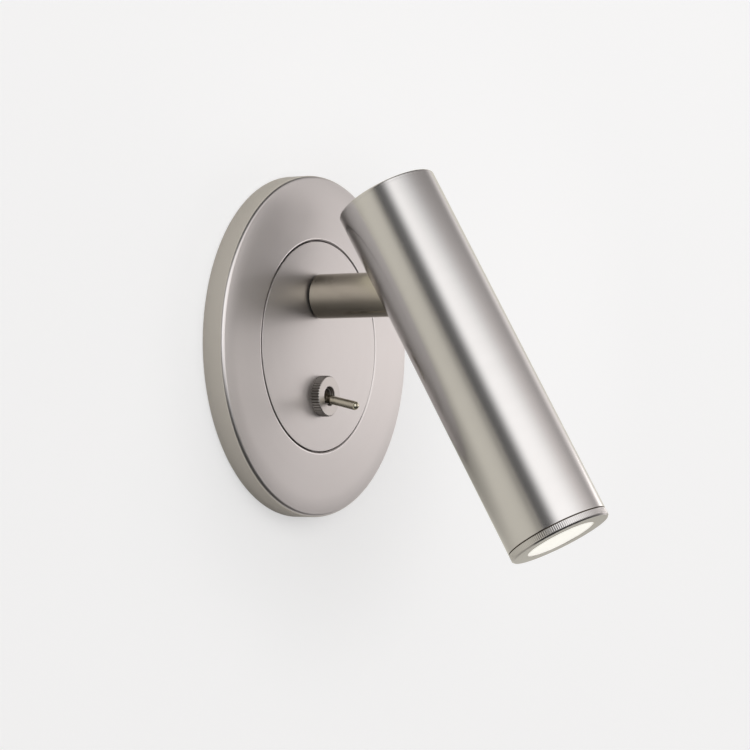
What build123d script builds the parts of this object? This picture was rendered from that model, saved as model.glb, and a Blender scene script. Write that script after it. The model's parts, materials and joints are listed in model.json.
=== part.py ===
from build123d import *
import os
from math import cos, pi, radians, sin, tan

# Tube wall light: a round wall plate with a toggle switch, a short arm and a tilting tube head.
# Millimetres and degrees. The wall is the plane y = 0 and the light stands out from it along -Y.
# +Z is up and +X is to the right of someone who faces the wall.
# The origin is the middle of the wall plate on the wall. "Out" is the distance in front of the wall.

# ---- driving sizes: wall plate ----
plate_diameter = 115.0
plate_depth = 8.2
plate_edge_round = 2.3
plate_rim_wall = 2.0
plate_face_wall = 3.0
seam_diameter = 71.0
seam_gap = 0.3
seam_bevel = 0.25
ledge_width = 4.5
ledge_thickness = 1.5
ledge_root = 3.5
plate_screw_radius = 1.25
plate_screw_head_radius = 2.1
plate_screw_head_height = 1.4
plate_screw_angles = (30.0, 150.0, 270.0)

# ---- driving sizes: wall bracket ----
bracket_thickness = 1.5
bracket_bore_radius = 32.0
bracket_rim_gap = 2.0
box_screw_spacing = 88.9
slot_width = 4.6
slot_length = 10.0
ear_width = 12.0
ear_thickness = 2.5
ear_rim_gap = 0.8
rim_screw_radius = 1.5
rim_screw_out = 3.1
rim_screw_depth = 5.2
rim_screw_sink = 0.4
rim_screw_socket_flats = 1.5
rim_screw_socket_depth = 1.5
ground_screw_radius = 2.05
ground_screw_flats = 6.1
ground_screw_head_height = 2.2
ground_screw_washer_radius = 3.8
ground_screw_washer_height = 0.55
ground_screw_length = 6.0
ground_screw_angle = 235.0

# ---- driving sizes: arm and its swivel ----
arm_rise = 16.8
arm_radius = 7.5
arm_wall = 1.25
arm_root_gap = 0.8
arm_root_bevel = 0.35
root_plug_length = 10.0
root_plug_wall = 1.25
stem_wall = 1.8
stem_end = 1.0
bush_flange_inset = 0.9
bush_sleeve_wall = 0.95
friction_washer_width = 3.4
friction_washer_thickness = 1.5
stop_washer_thickness = 1.2
spring_washer_height = 1.0
spring_washer_thickness = 0.6
lock_nut_wall = 2.0
lock_nut_height = 4.0
stop_pin_radius = 1.0
stop_tab_reach = 3.4
swivel_limit = 165.0

# ---- driving sizes: tilt joint inside the head ----
pivot_out = 53.5
rest_tilt = 28.7
largest_tilt = 50.0
tongue_thickness = 6.0
tongue_radius = 5.5
knuckle_reach = 11.0
knuckle_flange = 1.5
knuckle_plug_length = 10.0
knuckle_wire_radius = 1.1
pivot_bolt_radius = 2.0
pivot_bolt_head_radius = 3.5
pivot_bolt_head_height = 2.2
pivot_bolt_socket_flats = 2.5
pivot_bolt_socket_depth = 1.3
pivot_nut_flats = 7.0
pivot_nut_height = 3.2
tilt_washer_radius = 5.0
tilt_washer_thickness = 0.5
ear_plate_thickness = 3.5
ear_plate_radius = 6.5
carrier_start = 10.0
carrier_length = 12.0
carrier_wire_radius = 2.8
carrier_screw_radius = 1.5
carrier_screw_length = 4.5
carrier_screw_sink = 0.75
carrier_screw_socket_flats = 1.5
carrier_screw_socket_depth = 1.5
carrier_screw_shares = (0.27, 0.73)

# ---- driving sizes: head ----
head_radius = 17.3
head_wall = 1.5
head_top = 37.1
head_foot = 91.5
cap_edge = 1.2
cap_bevel = 0.6
cap_spigot = 2.6
bezel_band = 2.5
bezel_groove = 0.35
bezel_groove_depth = 0.6
bezel_round = 0.65
bezel_spigot = 8.0
bezel_wall = 2.1
bezel_lip = 0.8
bezel_lip_width = 1.8
lens_flange = 1.4
lens_recess = 0.25
gasket_thickness = 0.5
gasket_width = 1.4
reflector_flange = 1.0
reflector_throat_radius = 5.0
reflector_wall = 0.9
pillar_length = 24.0
pillar_flats = 5.0
pillar_offset = 7.0
pillar_stud_radius = 1.4
pillar_stud_length = 4.5
heat_sink_length = 18.0
heat_sink_base = 2.5
heat_sink_hub_radius = 10.5
fin_count = 16
fin_thickness = 1.1
lead_hole_radius = 1.1
lead_hole_offset = 5.8
board_radius = 12.5
board_thickness = 1.6
chip_width = 9.0
chip_thickness = 0.8
chip_lamp_radius = 3.8
chip_lamp_height = 0.3
board_screw_offset = 10.0
board_screw_radius = 1.0
board_screw_head_radius = 1.8
board_screw_head_height = 1.1
board_screw_depth = 3.0

# ---- driving sizes: switch ----
switch_drop = 16.8
bushing_radius = 3.175
bushing_bore_radius = 2.5
bushing_length = 8.0
switch_body_width = 7.9
switch_body_height = 13.2
switch_body_depth = 9.5
switch_back_nut_flats = 8.0
switch_back_nut_height = 2.0
switch_lock_washer_radius = 4.8
switch_lock_washer_thickness = 0.5
switch_nut_room = 0.5
terminal_pitch = 4.7
terminal_width = 2.0
terminal_thickness = 0.8
terminal_length = 4.8
knurled_nut_radius = 6.9
knurled_nut_height = 3.2
knurl_teeth = 42
knurl_depth = 0.45
knurled_nut_bevel = 0.4
lever_throw = 25.0
lever_ball_radius = 2.2
lever_ball_depth = 3.7
lever_reach = 15.3
lever_neck_radius = 1.0
lever_tip_radius = 1.57
lever_tail_radius = 0.9
lever_tail_length = 3.6

# ---- driving sizes: electrical parts behind the plate ----
service_corner_angle = 28.0
service_room = 1.5
driver_depth = 17.0
driver_round = 1.0
driver_foot_thickness = 1.2
driver_foot_width = 6.0
driver_foot_reach = 5.6
driver_screw_radius = 1.5
driver_screw_head_radius = 2.5
driver_screw_head_height = 1.6
terminal_block_depth = 11.0
terminal_poles = 3
clamp_radius = 1.4
clamp_sink = 1.0
clamp_length = 4.0
wire_entry_radius = 1.6
wire_entry_depth = 4.0
block_screw_radius = 1.25
block_screw_head_radius = 2.1
block_screw_head_height = 1.5

# ---- driving sizes: slots of the pan-head screws ----
screw_slot_width = 0.7
screw_slot_depth = 0.6

# ---- clearances ----
thread_gap = 0.05
slip_gap = 0.1
swivel_fit = 0.08
hinge_fit = 0.08
running_gap = 0.3
hole_gap = 0.15
slot_gap = 0.8
stop_gap = 0.4
clear_room = 1.0
blind_skin = 0.8
screw_end_gap = 0.2

# ---- sizes that follow from the driving ones ----
plate_radius = plate_diameter / 2
seam_radius = seam_diameter / 2
centre_plate_radius = seam_radius - seam_gap / 2
plate_opening_radius = seam_radius + seam_gap / 2
plate_back_out = plate_depth - plate_face_wall
ledge_bore_radius = seam_radius - ledge_width
plate_screw_circle = (ledge_bore_radius + centre_plate_radius) / 2
blind_depth = plate_face_wall - blind_skin

bracket_radius = plate_radius - plate_rim_wall - bracket_rim_gap
ear_outer_radius = plate_radius - plate_rim_wall - ear_rim_gap
ear_top_out = rim_screw_out + rim_screw_radius + clear_room / 2
rim_screw_tip = plate_radius - rim_screw_sink - rim_screw_depth
ground_screw_circle = (bracket_bore_radius + bracket_radius) / 2

arm_root_out = plate_depth + arm_root_gap
arm_end_out = pivot_out - knuckle_reach - knuckle_flange
arm_bore_radius = arm_radius - arm_wall
stem_radius = arm_bore_radius - root_plug_wall
stem_bore_radius = stem_radius - stem_wall
bush_flange_radius = arm_radius - bush_flange_inset
bush_bore_radius = stem_radius + swivel_fit
bush_sleeve_radius = bush_bore_radius + bush_sleeve_wall
friction_washer_radius = stem_radius + friction_washer_width
friction_washer_out = plate_back_out - friction_washer_thickness
stop_washer_out = friction_washer_out - running_gap - stop_washer_thickness
spring_washer_out = stop_washer_out - spring_washer_height
lock_nut_out = spring_washer_out - lock_nut_height
lock_nut_radius = stem_radius + lock_nut_wall
stem_back_out = lock_nut_out - stem_end
stop_circle = friction_washer_radius + clear_room / 2 + stop_pin_radius
stop_reach = friction_washer_radius + stop_tab_reach
stop_tab_width = 2 * (stop_circle * sin(radians(180 - swivel_limit)) - stop_pin_radius - stop_gap)

ear_plate_inside = tongue_thickness / 2 + running_gap + tilt_washer_thickness
ear_plate_outside = ear_plate_inside + ear_plate_thickness
carrier_end = carrier_start + carrier_length
head_bore_radius = head_radius - head_wall
head_fit_radius = head_bore_radius - slip_gap
lens_seat_radius = head_fit_radius - bezel_wall
lens_opening_radius = lens_seat_radius - bezel_lip_width
slot_half_width = arm_radius + slot_gap
slot_reach = head_radius * tan(radians(largest_tilt)) + arm_radius / cos(radians(largest_tilt))
slot_run = slot_reach + slot_gap - slot_half_width

bezel_top = head_foot - bezel_band
tube_foot = bezel_top - bezel_groove
lens_front = head_foot - lens_recess
lens_shoulder = head_foot - bezel_lip
lens_back = lens_shoulder - lens_flange
gasket_back = lens_back - gasket_thickness
reflector_foot = gasket_back - reflector_flange
heat_sink_start = carrier_end + pillar_length
heat_sink_end = heat_sink_start + heat_sink_length
board_end = heat_sink_end + board_thickness
chip_end = board_end + chip_thickness
reflector_start = chip_end + chip_lamp_height + running_gap

bushing_back_out = plate_back_out - switch_lock_washer_thickness - switch_back_nut_height - switch_nut_room
bushing_front_out = bushing_back_out + bushing_length
ball_out = bushing_front_out - lever_ball_depth

service_radius = ledge_bore_radius - service_room
service_far = service_radius * cos(radians(service_corner_angle))
service_half_height = service_radius * sin(radians(service_corner_angle))
service_near = stop_reach + clear_room
service_middle = (service_near + service_far) / 2


# ---- shapes square to the wall ----
def wall_plane(x, z, out):
    """Plane parallel to the wall and facing away from it, with x along X and y along Z."""
    return Plane(origin=(x, -out, z), x_dir=(1, 0, 0), z_dir=(0, -1, 0))


def wall_rod(x, z, low, high, radius):
    """Round rod square to the wall, between two distances out."""
    return extrude(wall_plane(x, z, low) * Circle(radius), high - low)


def wall_ring(x, z, low, high, radius, bore):
    """Round washer or sleeve square to the wall."""
    return wall_rod(x, z, low, high, radius) - wall_rod(x, z, low, high, bore)


def wall_hexagon(x, z, low, high, flats, bore):
    """Hexagon nut square to the wall."""
    hexagon = RegularPolygon(flats / 2, 6, major_radius=False)
    return extrude(wall_plane(x, z, low) * hexagon, high - low) - wall_rod(x, z, low, high, bore)


def wall_box(x_low, x_high, z_low, z_high, low, high):
    """Box between two distances out."""
    middle = wall_plane((x_low + x_high) / 2, (z_low + z_high) / 2, low)
    return extrude(middle * Rectangle(x_high - x_low, z_high - z_low), high - low)


def wall_turned(profile, x, z):
    """Turn a (radius, out) profile about an axis square to the wall."""
    plane = Plane(origin=(x, 0, z), x_dir=(1, 0, 0), z_dir=(0, 0, -1))
    return revolve(plane * profile, Axis((x, 0, z), (0, -1, 0)))


# ---- shapes on the head's own axis ----
# The head is built upright with its pivot at the origin and its slot towards +Y.
# Depth runs down its axis, from the pivot to the lens.
head_plane = Plane(origin=(0, 0, 0), x_dir=(1, 0, 0), z_dir=(0, 1, 0))


def head_turned(profile):
    """Turn a (radius, depth) profile about the head's axis."""
    return revolve(head_plane * profile, Axis.Z)


def head_rod(x, y, start, end, radius):
    """Round rod along the head, between two depths."""
    return extrude(Plane(origin=(x, y, -end)) * Circle(radius), end - start)


def head_ring(start, end, radius, bore):
    """Round ring on the head's axis, between two depths."""
    return head_rod(0, 0, start, end, radius) - head_rod(0, 0, start, end, bore)


def cross_rod(low, high, radius):
    """Round rod along X through the pivot, between two x values."""
    return extrude(Plane(origin=(low, 0, 0), x_dir=(0, 1, 0), z_dir=(1, 0, 0)) * Circle(radius), high - low)


# ---- small helpers ----
def outline(*points):
    """Flat profile through its corner points."""
    return Polygon(*points, align=None)


def rounded(profile, corner, radius):
    """Round one corner of a flat profile."""
    return fillet(profile.vertices().sort_by_distance(Vector(*corner))[0], radius)


def bevelled(profile, corner, length):
    """Bevel one corner of a flat profile."""
    return chamfer(profile.vertices().sort_by_distance(Vector(*corner))[0], length)


def on_circle(radius, angle):
    """Point on a circle, with the angle measured from +X."""
    return radius * cos(radians(angle)), radius * sin(radians(angle))


def placed_head(shape):
    """Bring an upright head piece to the pivot at its rest tilt."""
    return Pos(0, -pivot_out, arm_rise) * Rot(-rest_tilt, 0, 0) * shape


# ---- wall plate ----
def make_trim_plate():
    """Outer plate: a shallow dish with a rounded edge and a ledge that the centre plate seats on."""
    ledge_back = plate_back_out - ledge_thickness
    ledge_outside = plate_opening_radius + ledge_root
    profile = outline(
        (plate_radius, 0),
        (plate_radius, plate_depth),
        (plate_opening_radius, plate_depth),
        (plate_opening_radius, plate_back_out),
        (ledge_bore_radius, plate_back_out),
        (ledge_bore_radius, ledge_back),
        (ledge_outside, ledge_back),
        (ledge_outside, plate_back_out),
        (plate_radius - plate_rim_wall, plate_back_out),
        (plate_radius - plate_rim_wall, 0),
    )
    profile = rounded(profile, (plate_radius, plate_depth), plate_edge_round)
    profile = bevelled(profile, (plate_opening_radius, plate_depth), seam_bevel)
    plate = wall_turned(profile, 0, 0)
    for angle in plate_screw_angles:
        x, z = on_circle(plate_screw_circle, angle)
        plate -= wall_rod(x, z, ledge_back, plate_back_out, plate_screw_radius + hole_gap)
    rim_holes = Cylinder(rim_screw_radius + hole_gap, plate_diameter)
    return plate - Pos(0, -rim_screw_out, 0) * rim_holes


def make_centre_plate():
    """Inner plate, flush with the trim plate: it carries the arm, the switch and the wiring parts."""
    profile = outline(
        (0, plate_back_out),
        (centre_plate_radius, plate_back_out),
        (centre_plate_radius, plate_depth),
        (0, plate_depth),
    )
    profile = bevelled(profile, (centre_plate_radius, plate_depth), seam_bevel)
    plate = wall_turned(profile, 0, 0)
    plate -= wall_rod(0, arm_rise, plate_back_out, plate_depth, bush_sleeve_radius + thread_gap)
    plate -= wall_rod(0, -switch_drop, plate_back_out, plate_depth, bushing_radius + hole_gap)
    for x, z, radius in blind_hole_list():
        plate -= wall_rod(x, z, plate_back_out, plate_back_out + blind_depth, radius + thread_gap)
    return plate


def blind_hole_list():
    """Centres and screw radii of the threaded holes in the back of the centre plate."""
    holes = [(*on_circle(plate_screw_circle, angle), plate_screw_radius) for angle in plate_screw_angles]
    holes += [(service_middle, z, driver_screw_radius) for z in driver_screw_heights()]
    holes += [(-service_middle, z, block_screw_radius) for z in block_screw_heights()]
    holes.append((0, arm_rise - stop_circle, stop_pin_radius))
    return holes


def back_screw(x, z, seat_out, radius, head_radius, head_height):
    """Pan-head screw from behind, with its head under seat_out and its shank in the centre plate."""
    shank = wall_rod(x, z, seat_out, plate_back_out + blind_depth - screw_end_gap, radius)
    head_out = seat_out - head_height
    head = wall_rod(x, z, head_out, seat_out, head_radius)
    slot = wall_plane(x, z, head_out) * Rectangle(2 * head_radius, screw_slot_width)
    return shank + head - extrude(slot, screw_slot_depth)


def make_plate_screws():
    """Three screws that pull the centre plate onto the ledge from behind."""
    seat = plate_back_out - ledge_thickness
    sizes = (seat, plate_screw_radius, plate_screw_head_radius, plate_screw_head_height)
    return [back_screw(*on_circle(plate_screw_circle, angle), *sizes) for angle in plate_screw_angles]


# ---- wall bracket ----
def make_wall_bracket():
    """Steel ring for the wall box, with two box-screw slots and two bent ears for the rim screws."""
    ring = wall_ring(0, 0, 0, bracket_thickness, bracket_radius, bracket_bore_radius)
    slot = SlotOverall(slot_length, slot_width)
    for side in (-1, 1):
        ring -= extrude(wall_plane(side * box_screw_spacing / 2, 0, 0) * slot, bracket_thickness)
    ring += bracket_ears()
    x, z = on_circle(ground_screw_circle, ground_screw_angle)
    ring -= wall_rod(x, z, 0, bracket_thickness, ground_screw_radius + thread_gap)
    return ring - Pos(0, -rim_screw_out, 0) * Cylinder(rim_screw_radius + thread_gap, plate_diameter)


def bracket_ears():
    """Ears bent out from the ring at the top and the bottom."""
    inner = ear_outer_radius - ear_thickness
    ears = []
    for side in (-1, 1):
        low, high = sorted((side * (inner - ear_thickness), side * ear_outer_radius))
        foot = wall_box(-ear_width / 2, ear_width / 2, low, high, 0, bracket_thickness)
        low, high = sorted((side * inner, side * ear_outer_radius))
        ears.append(foot + wall_box(-ear_width / 2, ear_width / 2, low, high, 0, ear_top_out))
    return ears


def make_rim_screws():
    """Two socket set screws, through the rim at the top and the bottom into the bracket's ears."""
    end = plate_radius - rim_screw_sink
    socket = RegularPolygon(rim_screw_socket_flats / 2, 6, major_radius=False)
    screw = extrude(Plane(origin=(0, 0, rim_screw_tip)) * Circle(rim_screw_radius), rim_screw_depth)
    screw -= extrude(Plane(origin=(0, 0, end - rim_screw_socket_depth)) * socket, rim_screw_socket_depth)
    return [Pos(0, -rim_screw_out, 0) * Rot(0, turn, 0) * screw for turn in (0, 180)]


def make_ground_screw():
    """Earth screw with a hexagon washer head, in the bracket."""
    x, z = on_circle(ground_screw_circle, ground_screw_angle)
    washer_top = bracket_thickness + ground_screw_washer_height
    shank = wall_rod(x, z, -ground_screw_length, bracket_thickness, ground_screw_radius)
    washer = wall_rod(x, z, bracket_thickness, washer_top, ground_screw_washer_radius)
    hexagon = RegularPolygon(ground_screw_flats / 2, 6, major_radius=False)
    head = extrude(wall_plane(x, z, bracket_thickness) * hexagon, ground_screw_head_height)
    return shank + washer + head


# ---- arm and swivel ----
def make_arm_tube():
    """Round tube between the wall plate and the head."""
    profile = outline(
        (arm_bore_radius, arm_root_out),
        (arm_radius, arm_root_out),
        (arm_radius, arm_end_out),
        (arm_bore_radius, arm_end_out),
    )
    return wall_turned(bevelled(profile, (arm_radius, arm_root_out), arm_root_bevel), 0, arm_rise)


def make_arm_root_plug():
    """Threaded plug fixed in the root of the arm."""
    end = arm_root_out + root_plug_length
    return wall_ring(0, arm_rise, arm_root_out, end, arm_bore_radius - thread_gap, stem_radius + thread_gap)


def make_arm_stem():
    """Hollow threaded stem: the arm turns on it and the leads run through it."""
    end = arm_root_out + root_plug_length - clear_room
    return wall_ring(0, arm_rise, stem_back_out, end, stem_radius, stem_bore_radius)


def make_swivel_bush():
    """Flanged bush in the centre plate: its flange is the dark line at the root of the arm."""
    profile = outline(
        (bush_bore_radius, plate_back_out),
        (bush_sleeve_radius, plate_back_out),
        (bush_sleeve_radius, plate_depth),
        (bush_flange_radius, plate_depth),
        (bush_flange_radius, arm_root_out - running_gap),
        (bush_bore_radius, arm_root_out - running_gap),
    )
    return wall_turned(profile, 0, arm_rise)


def make_friction_washer():
    """Washer behind the centre plate that the swivel rubs on."""
    bore = stem_radius + hole_gap
    return wall_ring(0, arm_rise, friction_washer_out, plate_back_out, friction_washer_radius, bore)


def make_stop_washer():
    """Washer that turns with the arm, with a tab that meets the stop pin at both limits."""
    top = stop_washer_out + stop_washer_thickness
    half = stop_tab_width / 2
    disc = wall_rod(0, arm_rise, stop_washer_out, top, friction_washer_radius)
    disc += wall_box(-half, half, arm_rise, arm_rise + stop_reach, stop_washer_out, top)
    return disc - wall_rod(0, arm_rise, stop_washer_out, top, stem_radius + thread_gap)


def make_spring_washer():
    """Conical spring washer that sets the friction of the swivel."""
    inner = stem_radius + hole_gap
    profile = outline(
        (inner, spring_washer_out),
        (lock_nut_radius, stop_washer_out - spring_washer_thickness),
        (lock_nut_radius, stop_washer_out),
        (inner, spring_washer_out + spring_washer_thickness),
    )
    return wall_turned(profile, 0, arm_rise)


def make_arm_lock_nut():
    """Nut that holds the arm in the centre plate."""
    top = lock_nut_out + lock_nut_height
    return wall_hexagon(0, arm_rise, lock_nut_out, top, 2 * lock_nut_radius, stem_radius + thread_gap)


def make_stop_pin():
    """Pin in the back of the centre plate, below the arm's axis."""
    low = stop_washer_out - running_gap
    return wall_rod(0, arm_rise - stop_circle, low, plate_back_out + blind_depth, stop_pin_radius)


# ---- tilt joint ----
def make_tilt_knuckle():
    """Turned and milled end of the arm: a plug, a flange and a tongue with the pivot eye."""
    shoulder = pivot_out - knuckle_reach
    plug_out = arm_end_out - knuckle_plug_length
    body = wall_rod(0, 0, plug_out - pivot_out, arm_end_out - pivot_out, arm_bore_radius - thread_gap)
    body += wall_rod(0, 0, arm_end_out - pivot_out, shoulder - pivot_out, arm_radius)
    half = tongue_thickness / 2
    body += wall_box(-half, half, -tongue_radius, tongue_radius, shoulder - pivot_out, 0)
    body += cross_rod(-half, half, tongue_radius)
    body -= cross_rod(-half, half, pivot_bolt_radius + hinge_fit)
    wire_x = (half + arm_bore_radius) / 2
    for side in (-1, 1):
        body -= wall_rod(
            side * wire_x, 0, plug_out - pivot_out, shoulder - pivot_out, knuckle_wire_radius
        )
    return Pos(0, -pivot_out, arm_rise) * body


def make_pivot_carrier():
    """Yoke in the head: a round block with two ears that reach up to the pivot."""
    block = head_rod(0, 0, carrier_start, carrier_end, head_fit_radius)
    ear = Circle(ear_plate_radius)
    ear += Pos(0, -carrier_start / 2) * Rectangle(2 * ear_plate_radius, carrier_start)
    for start in (-ear_plate_outside, ear_plate_inside):
        plane = Plane(origin=(start, 0, 0), x_dir=(0, 1, 0), z_dir=(1, 0, 0))
        block += extrude(plane * ear, ear_plate_thickness)
    block -= cross_rod(-ear_plate_outside, ear_plate_outside, pivot_bolt_radius + thread_gap)
    block -= head_rod(0, 0, carrier_start, carrier_end, carrier_wire_radius)
    for side in (-1, 1):
        start = carrier_end - pillar_stud_length
        block -= head_rod(side * pillar_offset, 0, start, carrier_end, pillar_stud_radius + thread_gap)
    for depth in carrier_screw_depths():
        block -= carrier_screw(depth, thread_gap)
    return placed_head(block)


def carrier_screw_depths():
    """Depths of the two set screws that hold the carrier in the tube."""
    return [carrier_start + carrier_length * share for share in carrier_screw_shares]


def carrier_screw(depth, gap):
    """Set screw through the back of the tube, or its hole when gap is more than nothing."""
    start = head_radius - carrier_screw_length - gap
    end = head_radius + gap
    plane = Plane(origin=(0, start, -depth), x_dir=(1, 0, 0), z_dir=(0, 1, 0))
    return extrude(plane * Circle(carrier_screw_radius + gap), end - start)


def make_carrier_screws():
    """Two socket set screws in the back of the tube, under the slot."""
    screws = []
    socket = RegularPolygon(carrier_screw_socket_flats / 2, 6, major_radius=False)
    end_radius = head_radius - carrier_screw_sink
    for depth in carrier_screw_depths():
        screw = carrier_screw(depth, 0) & head_rod(0, 0, 0, carrier_end, end_radius)
        floor_y = end_radius - carrier_screw_socket_depth
        floor = Plane(origin=(0, floor_y, -depth), x_dir=(1, 0, 0), z_dir=(0, 1, 0))
        screws.append(placed_head(screw - extrude(floor * socket, head_wall + carrier_screw_socket_depth)))
    return screws


def make_pivot_bolt():
    """Bolt that the head tilts on."""
    bolt = cross_rod(-ear_plate_outside, ear_plate_outside + pivot_nut_height, pivot_bolt_radius)
    start = -ear_plate_outside - pivot_bolt_head_height
    bolt += cross_rod(start, -ear_plate_outside, pivot_bolt_head_radius)
    socket = RegularPolygon(pivot_bolt_socket_flats / 2, 6, major_radius=False)
    plane = Plane(origin=(start, 0, 0), x_dir=(0, 1, 0), z_dir=(1, 0, 0))
    return placed_head(bolt - extrude(plane * socket, pivot_bolt_socket_depth))


def make_pivot_nut():
    """Nut on the pivot bolt."""
    plane = Plane(origin=(ear_plate_outside, 0, 0), x_dir=(0, 1, 0), z_dir=(1, 0, 0))
    nut = extrude(plane * RegularPolygon(pivot_nut_flats / 2, 6, major_radius=False), pivot_nut_height)
    end = ear_plate_outside + pivot_nut_height
    return placed_head(nut - cross_rod(ear_plate_outside, end, pivot_bolt_radius + thread_gap))


def make_tilt_washers():
    """Friction washers between the yoke's ears and the tongue."""
    washers = []
    for start in (-ear_plate_inside, ear_plate_inside - tilt_washer_thickness):
        end = start + tilt_washer_thickness
        washer = cross_rod(start, end, tilt_washer_radius)
        washers.append(placed_head(washer - cross_rod(start, end, pivot_bolt_radius + thread_gap)))
    return washers


# ---- head ----
def make_head_tube():
    """Tube of the head, with a long slot in its back that the arm passes through."""
    cap_seat = cap_edge - head_top
    tube = head_ring(cap_seat, tube_foot, head_radius, head_bore_radius)
    slot = SlotCenterToCenter(slot_run, 2 * slot_half_width, rotation=90)
    tube -= extrude(head_plane * Pos(0, -slot_run / 2) * slot, 2 * head_radius)
    for depth in carrier_screw_depths():
        tube -= carrier_screw(depth, hole_gap)
    return placed_head(tube)


def make_end_cap():
    """Cap that closes the top of the tube."""
    seat = cap_edge - head_top
    profile = outline(
        (0, -head_top),
        (head_radius, -head_top),
        (head_radius, seat),
        (head_fit_radius, seat),
        (head_fit_radius, seat + cap_spigot),
        (0, seat + cap_spigot),
    )
    return placed_head(head_turned(bevelled(profile, (head_radius, -head_top), cap_bevel)))


def make_bezel_ring():
    """Grip ring that screws into the foot of the tube and holds the lens."""
    spigot_top = tube_foot - bezel_spigot
    neck_radius = head_radius - bezel_groove_depth
    profile = outline(
        (lens_opening_radius, head_foot),
        (head_radius, head_foot),
        (head_radius, bezel_top),
        (neck_radius, bezel_top),
        (neck_radius, tube_foot),
        (head_fit_radius, tube_foot),
        (head_fit_radius, spigot_top),
        (lens_seat_radius, spigot_top),
        (lens_seat_radius, lens_shoulder),
        (lens_opening_radius, lens_shoulder),
    )
    return placed_head(head_turned(rounded(profile, (head_radius, head_foot), bezel_round)))


def make_front_lens():
    """Diffusing lens with a flange behind the bezel's lip."""
    boss = lens_opening_radius - slip_gap
    flange = lens_seat_radius - slip_gap
    profile = outline(
        (0, lens_back),
        (flange, lens_back),
        (flange, lens_shoulder),
        (boss, lens_shoulder),
        (boss, lens_front),
        (0, lens_front),
    )
    return placed_head(head_turned(profile))


def make_lens_gasket():
    """Flat gasket between the reflector and the lens."""
    outer = lens_seat_radius - slip_gap
    return placed_head(head_ring(gasket_back, lens_back, outer, outer - gasket_width))


def make_reflector():
    """Conical reflector from the lamp chip down to the lens, with a flat flange."""
    outer = lens_seat_radius - slip_gap
    mouth = outer - gasket_width
    throat = reflector_throat_radius
    profile = outline(
        (throat, reflector_start),
        (mouth, gasket_back),
        (outer, gasket_back),
        (outer, reflector_foot),
        (mouth + reflector_wall, reflector_foot),
        (throat + reflector_wall, reflector_start),
    )
    return placed_head(head_turned(profile))


def make_pillars():
    """Two hexagon pillars with studs, from the carrier down to the heat sink."""
    hexagon = RegularPolygon(pillar_flats / 2, 6, major_radius=False)
    pillars = []
    for side in (-1, 1):
        x = side * pillar_offset
        pillar = extrude(Plane(origin=(x, 0, -heat_sink_start)) * hexagon, pillar_length)
        reach = pillar_stud_length - clear_room / 2
        pillar += head_rod(x, 0, carrier_end - reach, heat_sink_start + reach, pillar_stud_radius)
        pillars.append(placed_head(pillar))
    return pillars


def make_heat_sink():
    """Finned slug that carries the lamp board."""
    base_start = heat_sink_end - heat_sink_base
    sink = head_rod(0, 0, heat_sink_start, heat_sink_end, heat_sink_hub_radius)
    sink += head_rod(0, 0, base_start, heat_sink_end, head_fit_radius)
    fin_length = heat_sink_length - heat_sink_base
    fin_middle = heat_sink_hub_radius / 2 + head_fit_radius / 2
    fin_height = head_fit_radius - heat_sink_hub_radius + clear_room
    fin = Pos(fin_middle - clear_room / 2, 0, -heat_sink_start - fin_length / 2) * Box(
        fin_height, fin_thickness, fin_length
    )
    sink += [Rot(0, 0, index * 360 / fin_count) * fin for index in range(fin_count)]
    sink = sink & head_rod(0, 0, heat_sink_start, heat_sink_end, head_fit_radius)
    sink -= lead_holes(heat_sink_start, heat_sink_end)
    for side in (-1, 1):
        end = heat_sink_start + pillar_stud_length
        sink -= head_rod(side * pillar_offset, 0, heat_sink_start, end, pillar_stud_radius + thread_gap)
        start = heat_sink_end - board_screw_depth - thread_gap
        y = side * board_screw_offset
        sink -= head_rod(0, y, start, heat_sink_end, board_screw_radius + thread_gap)
    return placed_head(sink)


def lead_holes(start, end):
    """Rods of the two lead holes, on a slant either side of the lamp chip."""
    return [
        head_rod(side * lead_hole_offset, side * lead_hole_offset, start, end, lead_hole_radius)
        for side in (-1, 1)
    ]


def make_led_board():
    """Round board for the lamp chip, with a lead hole either side of it."""
    board = head_rod(0, 0, heat_sink_end, board_end, board_radius) - lead_holes(heat_sink_end, board_end)
    for side in (-1, 1):
        y = side * board_screw_offset
        board -= head_rod(0, y, heat_sink_end, board_end, board_screw_radius + hole_gap)
    return placed_head(board)


def make_led_chip():
    """Square lamp chip with a round lit area."""
    chip = Pos(0, 0, -(board_end + chip_end) / 2) * Box(chip_width, chip_width, chip_thickness)
    chip += head_rod(0, 0, chip_end, chip_end + chip_lamp_height, chip_lamp_radius)
    return placed_head(chip)


def make_board_screws():
    """Two small screws that clamp the lamp board."""
    screws = []
    for side in (-1, 1):
        y = side * board_screw_offset
        screw = head_rod(0, y, heat_sink_end - board_screw_depth, board_end, board_screw_radius)
        end = board_end + board_screw_head_height
        screws.append(placed_head(screw + head_rod(0, y, board_end, end, board_screw_head_radius)))
    return screws


# ---- switch ----
def make_switch_body():
    """Moulded body of the toggle switch."""
    z = -switch_drop
    half_width = switch_body_width / 2
    half_height = switch_body_height / 2
    low = bushing_back_out - switch_body_depth
    return wall_box(-half_width, half_width, z - half_height, z + half_height, low, bushing_back_out)


def make_switch_bushing():
    """Threaded bushing that the lever's ball sits in."""
    profile = outline(
        (bushing_bore_radius, bushing_back_out),
        (bushing_radius, bushing_back_out),
        (bushing_radius, bushing_front_out),
        (bushing_bore_radius, bushing_front_out),
    )
    bevel = (bushing_radius - bushing_bore_radius) / 2
    return wall_turned(bevelled(profile, (bushing_radius, bushing_front_out), bevel), 0, -switch_drop)


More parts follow.
